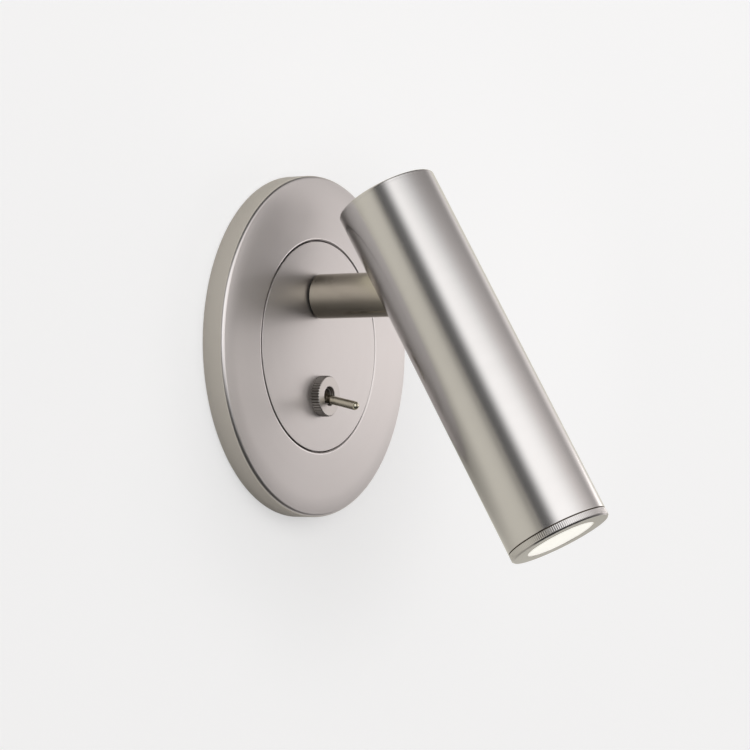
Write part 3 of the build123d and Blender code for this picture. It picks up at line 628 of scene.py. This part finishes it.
# ---- shader groups that more than one finish uses ----
def new_group(name, inputs, outputs):
    """Empty shader group with named sockets. Inputs are (name, kind, value), outputs are (name, kind)."""
    group = bpy.data.node_groups.new(name, "ShaderNodeTree")
    for label, kind, value in inputs:
        socket = group.interface.new_socket(name=label, in_out="INPUT", socket_type=kind)
        if value is not None:
            socket.default_value = value
    for label, kind in outputs:
        group.interface.new_socket(name=label, in_out="OUTPUT", socket_type=kind)
    return group, group.nodes.new("NodeGroupInput"), group.nodes.new("NodeGroupOutput")


def maths(tree, operation, first, second=0.0):
    """Math node whose inputs are sockets or plain numbers. Returns its output."""
    node = tree.nodes.new("ShaderNodeMath")
    node.operation = operation
    for socket, value in zip(node.inputs, (first, second)):
        if isinstance(value, (int, float)):
            socket.default_value = value
        else:
            tree.links.new(value, socket)
    return node.outputs[0]


def turning_marks_group():
    """Lines left by turning or spinning: noise that changes only with the distance gone along the line."""
    group, given, made = new_group(
        "turning marks",
        [("Distance", "NodeSocketFloat", 0.0), ("Pitch", "NodeSocketFloat", 0.1 * mm)],
        [("Marks", "NodeSocketFloat"), ("Drift", "NodeSocketFloat")],
    )
    lines = maths(group, "DIVIDE", given.outputs["Distance"], given.outputs["Pitch"])
    for label, scale, detail in (("Marks", 1.0, 3.0), ("Drift", 0.02, 1.0)):
        noise = group.nodes.new("ShaderNodeTexNoise")
        noise.noise_dimensions = "1D"
        noise.inputs["Scale"].default_value = scale
        noise.inputs["Detail"].default_value = detail
        group.links.new(lines, noise.inputs["W"])
        group.links.new(noise.outputs[0], made.inputs[label])
    return group


def soft_cloud_group():
    """Soft patches, for the slight changes of tone that every finish has."""
    group, given, made = new_group(
        "soft cloud",
        [("Vector", "NodeSocketVector", None), ("Size", "NodeSocketFloat", 10 * mm)],
        [("Cloud", "NodeSocketFloat"), ("Grain", "NodeSocketFloat")],
    )
    for label, finer, detail in (("Cloud", 1.0, 3.0), ("Grain", 60.0, 2.0)):
        noise = group.nodes.new("ShaderNodeTexNoise")
        noise.inputs["Detail"].default_value = detail
        scale = maths(group, "DIVIDE", finer, given.outputs["Size"])
        group.links.new(given.outputs["Vector"], noise.inputs["Vector"])
        group.links.new(scale, noise.inputs["Scale"])
        group.links.new(noise.outputs[0], made.inputs[label])
    return group


turning_marks = turning_marks_group()
soft_cloud = soft_cloud_group()


# ---- finishes ----
def new_finish(name):
    """Material with a bare Principled shader. Returns the material, its tree and the shader's inputs."""
    material = bpy.data.materials.new(name)
    material.use_nodes = True
    shader = material.node_tree.nodes["Principled BSDF"]
    return material, material.node_tree, shader.inputs


def add_group(tree, group, **values):
    """Places a shader group with its own values."""
    node = tree.nodes.new("ShaderNodeGroup")
    node.node_tree = group
    for label, value in values.items():
        if isinstance(value, (int, float)):
            node.inputs[label].default_value = value
        else:
            tree.links.new(value, node.inputs[label])
    return node


def object_place(tree):
    """Object coordinates."""
    return tree.nodes.new("ShaderNodeTexCoord").outputs["Object"]


def attribute(tree, name):
    """A number that a piece carries at each of its points."""
    node = tree.nodes.new("ShaderNodeAttribute")
    node.attribute_name = name
    return node.outputs["Fac"]


def tint(tree, share, low, high):
    """Colour between two others, which are sockets or linear colours, by a share from 0 to 1."""
    node = tree.nodes.new("ShaderNodeMix")
    node.data_type = "RGBA"
    for label, colour in (("A", low), ("B", high)):
        if isinstance(colour, tuple):
            node.inputs[label].default_value = (*colour, 1)
        else:
            tree.links.new(colour, node.inputs[label])
    tree.links.new(share, node.inputs["Factor"])
    return node.outputs["Result"]


def between(tree, share, low, high):
    """Number between two others, by a share from 0 to 1."""
    node = tree.nodes.new("ShaderNodeMapRange")
    node.inputs["To Min"].default_value = low
    node.inputs["To Max"].default_value = high
    tree.links.new(share, node.inputs["Value"])
    return node.outputs["Result"]


def bump(tree, height, strength, distance):
    """Normal of a fine relief."""
    node = tree.nodes.new("ShaderNodeBump")
    node.inputs["Strength"].default_value = strength
    node.inputs["Distance"].default_value = distance
    tree.links.new(height, node.inputs["Height"])
    return node.outputs["Normal"]


# Painted shade: grooves and thread roots are darkened towards this colour.
painted_shade_tone = (0.090, 0.072, 0.055)
groove_dullness = 0.25
turned_span = 0.03
turned_height = 0.01 * mm
turned_patch = 30 * mm
drift_share = 0.3

# How far the roughness of a grained finish goes to either side, and its relief's strength and height.
metal_grain = (0.06, 0.15, 0.02 * mm)
moulded_grain = (0.08, 0.3, 0.03 * mm)


def turned_metal(name, tones, roughness, polish, pitch, strength):
    """Turned and satin-finished metal: fine lines and soft patches.

    Its rounds have more polish, and its grooves are dull and painted dark as shade.
    """
    material, tree, inputs = new_finish(name)
    marks = add_group(tree, turning_marks, Distance=attribute(tree, "distance_gone"), Pitch=pitch)
    cloud = add_group(tree, soft_cloud, Vector=object_place(tree), Size=turned_patch)
    patches = maths(tree, "MULTIPLY", cloud.outputs["Cloud"], 1 - drift_share)
    drift = maths(tree, "MULTIPLY", marks.outputs["Drift"], drift_share)
    clean = tint(tree, maths(tree, "ADD", patches, drift), *tones)
    sunk = attribute(tree, "sunk")
    # Painted shade: grooves and thread roots are darkened by how deep they lie.
    tree.links.new(tint(tree, sunk, clean, painted_shade_tone), inputs["Base Color"])
    worn = maths(tree, "MULTIPLY", attribute(tree, "rounded"), polish)
    dull = maths(tree, "MULTIPLY", sunk, groove_dullness)
    rough = between(tree, marks.outputs["Marks"], roughness - turned_span, roughness + turned_span)
    rough = maths(tree, "ADD", maths(tree, "SUBTRACT", rough, worn), dull)
    tree.links.new(rough, inputs["Roughness"])
    tree.links.new(bump(tree, marks.outputs["Marks"], strength, turned_height), inputs["Normal"])
    inputs["Metallic"].default_value = 1.0
    return material


def grained(name, tones, roughness, size, grain):
    """Finish with soft patches of tone and a fine grain. Returns the material and its shader's inputs."""
    material, tree, inputs = new_finish(name)
    span, strength, height = grain
    cloud = add_group(tree, soft_cloud, Vector=object_place(tree), Size=size)
    rough = between(tree, cloud.outputs["Grain"], roughness - span, roughness + span)
    tree.links.new(tint(tree, cloud.outputs["Cloud"], *tones), inputs["Base Color"])
    tree.links.new(rough, inputs["Roughness"])
    tree.links.new(bump(tree, cloud.outputs["Grain"], strength, height), inputs["Normal"])
    return material, inputs


def plain_metal(name, *tones, roughness, size):
    """Pressed, plated or machined metal."""
    material, inputs = grained(name, tones, roughness, size, metal_grain)
    inputs["Metallic"].default_value = 1.0
    return material


def moulding(name, *tones, roughness, size):
    """Moulded plastic, rubber or printed board."""
    material, _ = grained(name, tones, roughness, size, moulded_grain)
    return material


def lit_opal():
    """Lit opal lens: it glows evenly, with soft patches of a slightly warmer tone."""
    material, tree, inputs = new_finish("lit_opal")
    cloud = add_group(tree, soft_cloud, Vector=object_place(tree), Size=opal_patch)
    for label, tones in (("Emission Color", opal_glow_tones), ("Base Color", opal_tones)):
        tree.links.new(tint(tree, cloud.outputs["Cloud"], *tones), inputs[label])
    inputs["Emission Strength"].default_value = opal_glow
    inputs["Roughness"].default_value = opal_roughness
    return material


plate_tones = ((0.600, 0.572, 0.562), (0.650, 0.622, 0.612))
tube_tones = ((0.590, 0.570, 0.560), (0.640, 0.620, 0.610))
# Painted shade: a darker, warmer copy of the tube's satin nickel, for the arm.
arm_shaded_tones = ((0.480, 0.440, 0.372), (0.530, 0.488, 0.412))
# Painted shade: a darker copy of the plate's satin nickel, for the nut and the bushing.
switch_shaded_tones = ((0.510, 0.483, 0.462), (0.560, 0.532, 0.510))
lever_tones = ((0.560, 0.520, 0.420), (0.620, 0.580, 0.475))
opal_tones = ((0.80, 0.80, 0.76), (0.84, 0.84, 0.80))
opal_glow_tones = ((1.0, 0.975, 0.88), (1.0, 0.985, 0.92))
opal_glow = 0.62
opal_roughness = 0.4
opal_patch = 20 * mm

finishes = {
    "plate_nickel": turned_metal(
        "satin_nickel_plate", plate_tones, roughness=0.47, polish=0.18, pitch=0.12 * mm, strength=0.04
    ),
    "tube_nickel": turned_metal(
        "satin_nickel_tube", tube_tones, roughness=0.20, polish=0.05, pitch=0.10 * mm, strength=0.06
    ),
    "arm_nickel": turned_metal(
        "shaded_satin_nickel_arm", arm_shaded_tones, roughness=0.21, polish=0.05, pitch=0.10 * mm, strength=0.05
    ),
    "switch_nickel": turned_metal(
        "switch_nickel", switch_shaded_tones, roughness=0.42, polish=0.10, pitch=0.08 * mm, strength=0.05
    ),
    "zinc_steel": plain_metal(
        "zinc_plated_steel", (0.48, 0.50, 0.52), (0.60, 0.62, 0.64), roughness=0.32, size=6 * mm
    ),
    "knuckle_steel": plain_metal(
        "machined_steel", (0.42, 0.41, 0.40), (0.50, 0.49, 0.47), roughness=0.30, size=4 * mm
    ),
    "green_screw": plain_metal(
        "green_dyed_zinc", (0.03, 0.22, 0.07), (0.05, 0.34, 0.12), roughness=0.30, size=3 * mm
    ),
    "yellow_brass": plain_metal(
        "turned_brass", (0.62, 0.44, 0.17), (0.74, 0.56, 0.26), roughness=0.25, size=4 * mm
    ),
    "black_nylon": moulding(
        "black_nylon", (0.012, 0.012, 0.012), (0.022, 0.022, 0.021), roughness=0.50, size=3 * mm
    ),
    "black_case": moulding(
        "black_moulded_case", (0.018, 0.018, 0.020), (0.032, 0.032, 0.035), roughness=0.50, size=8 * mm
    ),
    "white_block": moulding(
        "white_moulded_block", (0.66, 0.65, 0.60), (0.74, 0.73, 0.69), roughness=0.42, size=6 * mm
    ),
    "bare_aluminium": plain_metal(
        "bare_aluminium", (0.66, 0.66, 0.67), (0.76, 0.76, 0.77), roughness=0.34, size=5 * mm
    ),
    "board_white": moulding(
        "white_solder_mask", (0.74, 0.74, 0.72), (0.82, 0.82, 0.80), roughness=0.35, size=4 * mm
    ),
    "chip_yellow": moulding(
        "phosphor_yellow", (0.80, 0.58, 0.10), (0.88, 0.68, 0.16), roughness=0.35, size=2 * mm
    ),
    "reflector_bright": plain_metal(
        "bright_aluminium", (0.82, 0.82, 0.82), (0.90, 0.90, 0.90), roughness=0.10, size=6 * mm
    ),
    "gasket_rubber": moulding(
        "black_rubber", (0.018, 0.018, 0.018), (0.030, 0.030, 0.030), roughness=0.65, size=3 * mm
    ),
    "lens_opal": lit_opal(),
}

lever_finish = turned_metal(
    "polished_lever_nickel", lever_tones, roughness=0.12, polish=0.04, pitch=0.08 * mm, strength=0.04
)

for part in frame["record"]["subparts"]:
    for material_slot in frame["nodes"][part["node"]].material_slots:
        material_slot.material = finishes[part["material_slot"]]

make_trim_shell(finishes["plate_nickel"])
make_centre_disc(finishes["plate_nickel"])
make_arm_sleeve(finishes["arm_nickel"])
make_swivel_collar(finishes["black_nylon"])
make_barrel(finishes["tube_nickel"])
make_top_cap(finishes["tube_nickel"])
make_grip_ring(finishes["tube_nickel"])
make_opal_lens(finishes["lens_opal"])
make_knurled_nut(finishes["switch_nickel"])
make_threaded_bushing(finishes["switch_nickel"])
make_bat_lever(lever_finish)


# ---- wall, room light and lamp ----
def ramp(tree, value, limits, levels):
    """Number that goes smoothly from one level to the other while the value goes between two limits."""
    node = tree.nodes.new("ShaderNodeMapRange")
    node.interpolation_type = "SMOOTHSTEP"
    labels = ("From Min", "From Max", "To Min", "To Max")
    for label, number in zip(labels, (*limits, *levels)):
        node.inputs[label].default_value = number
    tree.links.new(value, node.inputs["Value"])
    return node.outputs["Result"]


def product(tree, *factors):
    """Factors multiplied together."""
    total = factors[0]
    for factor in factors[1:]:
        total = maths(tree, "MULTIPLY", total, factor)
    return total


def direction(azimuth, elevation):
    """Unit direction: azimuth 0 is straight out from the wall, and 90 is along +X."""
    turn = radians(azimuth)
    lift = radians(elevation)
    return Vector((sin(turn) * cos(lift), -cos(turn) * cos(lift), sin(lift)))


growing = (0.0, 1.0)
fading = (1.0, 0.0)
pure_white = (1.0, 1.0, 1.0)

wall_reach = 3.0
wall_columns = 96
wall_gap = 0.2 * mm
wall_white = (0.60, 0.60, 0.60)
# In mirror images the wall's paint and glow are warmer: a painted reflection tone.
mirrored_white = (0.60, 0.586, 0.528)
mirrored_tone = (1.0, 0.978, 0.865)

# The wall's glow as the camera sees it and in mirror images, with limits in metres and levels. Its ramps paint
# light and shade into the glow: to the camera it brightens slightly to the right and upwards, in mirror images it
# fades towards the left end and the floor, and both hold a painted shadow of the plate and the head around
# shade_place.
wall_glow = 0.455
shown_across = ((-0.3, 0.4), (0.98, 1.03))
shown_upwards = ((-0.25, 0.25), (0.97, 1.06))
shown_shade = (0.92, 1.0)
mirrored_glow = 0.38
mirrored_across = (-0.62, -0.1)
mirrored_upwards = (-0.26, -0.05)
shade_place = (15 * mm, -15 * mm)
shade_reach = (45 * mm, 110 * mm)


def wall_mesh():
    """Square of the wall, with a round opening behind the plate as the box in the wall leaves.

    It is a ring of faces from the opening to wall_reach / max(|cos(angle)|, |sin(angle)|).
    """
    angle = (np.arange(wall_columns) + 0.5) * 2 * pi / wall_columns
    ring = np.stack([np.cos(angle), 0 * angle, np.sin(angle)], axis=1)
    outer = ring * wall_reach / np.abs(ring).max(axis=1)[:, None]
    spots = np.concatenate([ring * (plate_radius - rim_wall), outer]) + np.array([0.0, wall_gap, 0.0])
    first = np.arange(wall_columns)
    after = (first + 1) % wall_columns
    faces = np.stack([first, first + wall_columns, after + wall_columns, after], axis=1)
    mesh = bpy.data.meshes.new("wall")
    mesh.from_pydata(spots.tolist(), [], faces.tolist())
    return mesh


def wall_level(tree, path):
    """Strength of the wall's glow, for the kind of ray that a light path node gives.

    To the camera it is nearly even. In mirror images it fades towards its left end and towards the floor,
    and in the shade of the plate and the head, which is round and softer than they are.
    """
    place = tree.nodes.new("ShaderNodeSeparateXYZ")
    tree.links.new(object_place(tree), place.inputs[0])
    sideways = maths(tree, "SUBTRACT", place.outputs["X"], shade_place[0])
    upwards = maths(tree, "SUBTRACT", place.outputs["Z"], shade_place[1])
    squares = [product(tree, shift, shift) for shift in (sideways, upwards)]
    near = maths(tree, "SQRT", maths(tree, "ADD", *squares))
    seen = maths(tree, "MAXIMUM", path.outputs["Is Camera Ray"], path.outputs["Is Transmission Ray"])
    shown = product(
        tree,
        maths(tree, "MULTIPLY", seen, wall_glow),
        ramp(tree, place.outputs["X"], *shown_across),
        ramp(tree, place.outputs["Z"], *shown_upwards),
        ramp(tree, near, shade_reach, shown_shade),
    )
    mirrored = product(
        tree,
        maths(tree, "MULTIPLY", path.outputs["Is Glossy Ray"], mirrored_glow),
        ramp(tree, place.outputs["X"], mirrored_across, growing),
        ramp(tree, place.outputs["Z"], mirrored_upwards, growing),
        ramp(tree, near, shade_reach, growing),
    )
    return maths(tree, "ADD", shown, mirrored)


def wall_paint():
    """Pale matt paint with a glow of its own, clear from behind."""
    material = bpy.data.materials.new("wall_paint")
    material.use_nodes = True
    tree = material.node_tree
    tree.nodes.clear()
    path = tree.nodes.new("ShaderNodeLightPath")
    in_mirror = path.outputs["Is Glossy Ray"]
    matt = tree.nodes.new("ShaderNodeBsdfDiffuse")
    tree.links.new(tint(tree, in_mirror, wall_white, mirrored_white), matt.inputs["Color"])
    glow = tree.nodes.new("ShaderNodeEmission")
    tree.links.new(tint(tree, in_mirror, pure_white, mirrored_tone), glow.inputs["Color"])
    tree.links.new(wall_level(tree, path), glow.inputs["Strength"])
    both = tree.nodes.new("ShaderNodeAddShader")
    tree.links.new(matt.outputs[0], both.inputs[0])
    tree.links.new(glow.outputs[0], both.inputs[1])
    clear = tree.nodes.new("ShaderNodeBsdfTransparent")
    sided = tree.nodes.new("ShaderNodeMixShader")
    tree.links.new(tree.nodes.new("ShaderNodeNewGeometry").outputs["Backfacing"], sided.inputs[0])
    tree.links.new(both.outputs[0], sided.inputs[1])
    tree.links.new(clear.outputs[0], sided.inputs[2])
    out = tree.nodes.new("ShaderNodeOutputMaterial")
    tree.links.new(sided.outputs[0], out.inputs["Surface"])
    return material


def make_wall():
    """Pale wall: it shows its own colour and keeps the light's soft shadow."""
    mesh = wall_mesh()
    mesh.materials.append(wall_paint())
    wall = bpy.data.objects.new("wall", mesh)
    bpy.context.scene.collection.objects.link(wall)


# Strength of the room's lights.
room_low = 0.06
room_high = 0.14
room_ceiling = 0.07
room_pale = 0.88
window_light = 1.42
window_right_share = 0.2
low_light = 0.75
right_light = 0.70
right_tone = (1.0, 0.955, 0.94)
back_light = 0.60

# Azimuths and elevations, in degrees, over which the room's lights grow or fade.
room_rise = (-55, 10)
ceiling_fall = (35, 60)
window_left = (-78, -52)
window_right = (-28, 80)
window_foot = (-32, 6)
window_top = (39, 53)
window_middle = -18
window_top_sag = 0.0018
low_left = (8, 24)
low_right = (38, 54)
low_foot = (-14, -4)
low_top = (6, 18)
right_start = (58, 84)
right_top = (14, 34)
warm_turn = (-15, 40)

# Distance behind the wall, on the unit sphere, over which its back light grows.
back_rise = (0.0, 0.1)


def room_level(tree, turn, lift, back):
    """Strength of the room's light: a wide soft window in front, dim elsewhere.

    The window weakens to the right and fades towards the floor. Its top edge is highest at window_middle
    and sags by window_top_sag * (azimuth - window_middle) ** 2 to both sides. To its right are a low soft
    light at eye level and a pale end of the room. Behind the wall there is an even light.
    """
    sideways = maths(tree, "SUBTRACT", turn, window_middle)
    sag = maths(tree, "MULTIPLY", maths(tree, "MULTIPLY", sideways, sideways), window_top_sag)
    window = product(
        tree,
        ramp(tree, turn, window_left, (0.0, window_light)),
        ramp(tree, turn, window_right, (1.0, window_right_share)),
        ramp(tree, maths(tree, "ADD", lift, sag), window_top, fading),
        ramp(tree, lift, window_foot, growing),
    )
    right_end = product(
        tree,
        ramp(tree, turn, right_start, (0.0, right_light)),
        ramp(tree, lift, right_top, fading),
    )
    low = product(
        tree,
        ramp(tree, turn, low_left, (0.0, low_light)),
        ramp(tree, turn, low_right, fading),
        ramp(tree, lift, low_foot, growing),
        ramp(tree, lift, low_top, fading),
    )
    behind = ramp(tree, back, back_rise, (0.0, back_light))
    level = ramp(tree, lift, room_rise, (room_low, room_high))
    level = product(tree, level, ramp(tree, lift, ceiling_fall, (1.0, room_ceiling / room_high)))
    for light in (window, low, right_end, behind):
        level = maths(tree, "ADD", level, light)
    return level


def make_room():
    """Light of the room by azimuth and elevation, a little warmer to the right.

    The camera sees the room as a pale background.
    """
    world = bpy.data.worlds.new("room")
    world.use_nodes = True
    tree = world.node_tree
    background = tree.nodes["Background"]
    way = tree.nodes.new("ShaderNodeSeparateXYZ")
    tree.links.new(tree.nodes.new("ShaderNodeTexCoord").outputs["Generated"], way.inputs[0])
    forward = maths(tree, "MULTIPLY", way.outputs["Y"], -1.0)
    turn = maths(tree, "MULTIPLY", maths(tree, "ARCTAN2", way.outputs["X"], forward), 180 / pi)
    lift = maths(tree, "MULTIPLY", maths(tree, "ARCSINE", way.outputs["Z"]), 180 / pi)
    to_camera = tree.nodes.new("ShaderNodeLightPath").outputs["Is Camera Ray"]
    strength = tree.nodes.new("ShaderNodeMix")
    strength.data_type = "FLOAT"
    tree.links.new(to_camera, strength.inputs["Factor"])
    tree.links.new(room_level(tree, turn, lift, way.outputs["Y"]), strength.inputs["A"])
    strength.inputs["B"].default_value = room_pale
    tree.links.new(strength.outputs["Result"], background.inputs["Strength"])
    elsewhere = maths(tree, "SUBTRACT", 1.0, to_camera)
    warm = product(tree, ramp(tree, turn, warm_turn, growing), elsewhere)
    tree.links.new(tint(tree, warm, pure_white, right_tone), background.inputs["Color"])
    bpy.context.scene.world = world


def soft_box(name, azimuth, elevation, distance, wide, tall, radiance, spread):
    """Soft lamp that covers wide by tall degrees, seen from the middle of the object, behind a grid.

    A grid of half spread h makes a lamp tan(h) / (tan(h) - h) times as bright straight ahead, so its energy
    is divided by that.
    """
    lamp = bpy.data.lights.new(name, "AREA")
    lamp.shape = "RECTANGLE"
    lamp.size = 2 * distance * tan(radians(wide / 2))
    lamp.size_y = 2 * distance * tan(radians(tall / 2))
    half = radians(spread / 2)
    lamp.energy = radiance * pi * lamp.size * lamp.size_y * (tan(half) - half) / tan(half)
    lamp.color = right_tone
    lamp.spread = radians(spread)
    holder = bpy.data.objects.new(name, lamp)
    towards = direction(azimuth, elevation)
    holder.location = towards * distance
    holder.rotation_euler = towards.to_track_quat("Z", "Y").to_euler()
    bpy.context.scene.collection.objects.link(holder)


make_wall()
make_room()
soft_box(
    "side_lamp", azimuth=63, elevation=-1, distance=0.34, wide=18, tall=16, radiance=1.77, spread=80
)


# ---- camera ----
camera_place = (-768.633 * mm, -493.964 * mm, 7.167 * mm)
camera_azimuth = -58.854
camera_elevation = 1.089
camera_roll = -1.466
camera_lens = 129.454
camera_sensor = 36.0
camera_nearest = 10 * mm


def make_camera():
    """Camera at the photograph's angle. It looks along the opposite of its azimuth and elevation."""
    back = direction(camera_azimuth, camera_elevation)
    level = Vector((cos(radians(camera_azimuth)), sin(radians(camera_azimuth)), 0.0))
    raised = back.cross(level)
    roll = radians(camera_roll)
    right = level * cos(roll) + raised * sin(roll)
    up = back.cross(right)
    turn = Matrix((right, up, back)).transposed().to_4x4()
    camera = bpy.data.objects.new("camera", bpy.data.cameras.new("camera"))
    camera.data.lens = camera_lens
    camera.data.sensor_width = camera_sensor
    camera.data.clip_start = camera_nearest
    camera.matrix_world = Matrix.Translation(camera_place) @ turn
    bpy.context.scene.collection.objects.link(camera)
    bpy.context.scene.camera = camera


make_camera()
bpy.context.scene.view_settings.view_transform = "Standard"
